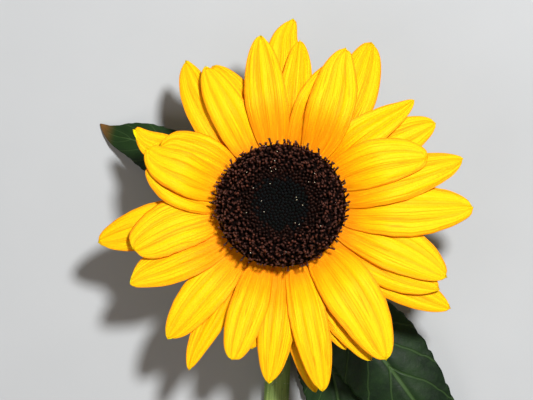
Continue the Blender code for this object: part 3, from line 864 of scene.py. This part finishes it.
def add_stem():
    rings = stem_rings()
    sides = 72
    centres = np.array([centre for centre, _ in rings])
    radii = np.array([radius for _, radius in rings])
    forward = np.gradient(centres, axis=0)
    forward /= np.linalg.norm(forward, axis=1, keepdims=True)
    first = np.tile([1.0, 0.0, 0.0], (len(rings), 1))
    first -= forward * np.sum(first * forward, axis=1, keepdims=True)
    first /= np.linalg.norm(first, axis=1, keepdims=True)
    second = np.cross(forward, first)
    angle = np.linspace(0, 2 * math.pi, sides, endpoint=False)
    share = np.linspace(0, 1, len(rings))
    # Shallow lengthwise ridges, always inside the plain radius.
    ridge = 1 - 0.028 * (0.5 + 0.5 * np.cos(angle * 11))[None, :] - 0.015 * (
        0.5 + 0.5 * np.cos(angle[None, :] * 17 + 3 * share[:, None])
    )
    ring = (
        first[:, None] * np.cos(angle)[None, :, None] + second[:, None] * np.sin(angle)[None, :, None]
    ) * (radii[:, None] * ridge)[..., None]
    points = (centres[:, None] + ring).reshape(-1, 3)
    index = np.arange(len(rings) * sides).reshape(len(rings), sides)
    after = np.roll(index, -1, axis=1)
    faces = np.stack([index[:-1], after[:-1], after[1:], index[1:]], -1).reshape(-1, 4).tolist()
    # The cut end: rings of a shallow dished face.
    count = len(points)
    cut_shares = (0.86, 0.6, 0.3, 0.04)
    cut = [points]
    for step, size in enumerate(cut_shares):
        inner = centres[0] + ring[0] * size + forward[0] * 0.35 * (step > 0)
        cut.append(inner)
    last_row = index[0]
    cut_start = len(faces)
    for step in range(len(cut_shares)):
        row = np.arange(sides) + count + step * sides
        quads = np.stack([last_row, row, np.roll(row, -1), np.roll(last_row, -1)], -1)
        faces += quads.tolist()
        last_row = row
    faces.append(last_row[::-1].tolist())
    faces.append(index[-1].tolist())
    points = np.concatenate(cut)
    mesh = bpy.data.meshes.new("stem_skin")
    mesh.from_pydata((points * MM).tolist(), [], faces)
    mesh.update()
    sheet = np.zeros((len(points), 3))
    sheet[:count, 0] = np.repeat(share, sides)
    sheet[:count, 1] = np.tile(np.sin(angle * 0.5) * 2 - 1, len(rings))
    for step, size in enumerate(cut_shares):
        sheet[count + step * sides: count + (step + 1) * sides, 1] = size
    add_sheet(mesh, sheet)
    item = link_object("stem_skin", mesh, stem_material(), PLANT_FRAME)
    mesh.materials.append(cut_material())
    for polygon in mesh.polygons[cut_start:-1]:
        polygon.material_index = 1
    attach(item, "root")
    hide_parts("stem_with_receptacle")
    add_hairs(centres, radii, first, second, forward)


def add_hairs(centres, radii, first, second, forward):
    """Short stiff hairs along the stem and the back of the receptacle."""
    hairs = Pile()
    for _ in range(HAIR_COUNT):
        spot = rng.integers(4, len(centres) - 14)
        angle = rng.uniform(0, 2 * math.pi)
        out = first[spot] * math.cos(angle) + second[spot] * math.sin(angle)
        length = rng.uniform(0.7, 1.5)
        foot = centres[spot] + out * radii[spot] * 0.955
        if foot[2] + out[2] * length < HAIR_LOWEST:
            continue
        lean = forward[spot] * rng.normal(0.1, 0.3)
        rise = np.linspace(0, 1, 3)[:, None]
        hairs.tube(foot + rise * (out + lean) * length, np.array([0.07, 0.05, 0.015]), 3, 0.5)
    item = link_object("stem_hairs", hairs.mesh("stem_hairs"), hair_material(), PLANT_FRAME)
    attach(item, "root")


# ---------------------------------------------------------------- table, light and camera

TABLE_HALF_SIZE = 2.5
AMBIENT_COLOUR = (1.0, 0.84, 0.74, 1)
AMBIENT_STRENGTH = 0.23
# Each light's name, offset from the head (m), diameter (m) and power (W).
LIGHTS = (
    ("key", (0.20, 0.26, 0.85), 0.13, 13.0),
    ("fill", (-0.6, -0.5, 0.8), 0.7, 2.0),
)
FIELD_WIDTH = 0.2132                  # what the camera sees across, at the flower's face
CAMERA_DISTANCE = 0.9
CAMERA_BACK = 0.02                    # how far the camera stands towards the stem
SENSOR_WIDTH = 36
AIM_OFFSET = (-0.0058, 0.0026, 0.004)


def add_stage():
    """The table, the ambient light and the lights."""
    mesh = bpy.data.meshes.new("table")
    half = TABLE_HALF_SIZE
    corners = [(-half, -half, 0), (half, -half, 0), (half, half, 0), (-half, half, 0)]
    mesh.from_pydata(corners, [], [(0, 1, 2, 3)])
    table = bpy.data.objects.new("table", mesh)
    mesh.materials.append(table_material())
    bpy.context.scene.collection.objects.link(table)
    world = bpy.data.worlds.new("studio")
    world.use_nodes = True
    world.node_tree.nodes["Background"].inputs["Color"].default_value = AMBIENT_COLOUR
    world.node_tree.nodes["Background"].inputs["Strength"].default_value = AMBIENT_STRENGTH
    bpy.context.scene.world = world
    bpy.context.scene.view_settings.view_transform = "Standard"
    for lamp in LIGHTS:
        add_light(*lamp)


def add_light(name, offset, size, power):
    lamp = bpy.data.lights.new(name, "AREA")
    lamp.shape = "DISK"
    lamp.size = size
    lamp.energy = power
    item = bpy.data.objects.new(name, lamp)
    item.location = HEAD_PLACE + Vector(offset)
    item.rotation_euler = (HEAD_PLACE - item.location).to_track_quat("-Z", "Y").to_euler()
    bpy.context.scene.collection.objects.link(item)


def add_camera():
    """Straight down on the flower's face through a long lens."""
    aim = HEAD_PLACE + Vector(AIM_OFFSET)
    lens = bpy.data.cameras.new("camera")
    lens.sensor_width = SENSOR_WIDTH
    lens.lens = SENSOR_WIDTH * CAMERA_DISTANCE / FIELD_WIDTH
    lens.clip_end = 10
    item = bpy.data.objects.new("camera", lens)
    item.location = aim + Vector((0, -CAMERA_BACK, CAMERA_DISTANCE))
    item.rotation_euler = (aim - item.location).to_track_quat("-Z", "Y").to_euler()
    bpy.context.scene.collection.objects.link(item)
    bpy.context.scene.camera = item


add_camera()
add_stage()
add_stem()
add_leaves()
add_bracts()
add_rays()
add_disc()

bpy.context.view_layer.update()
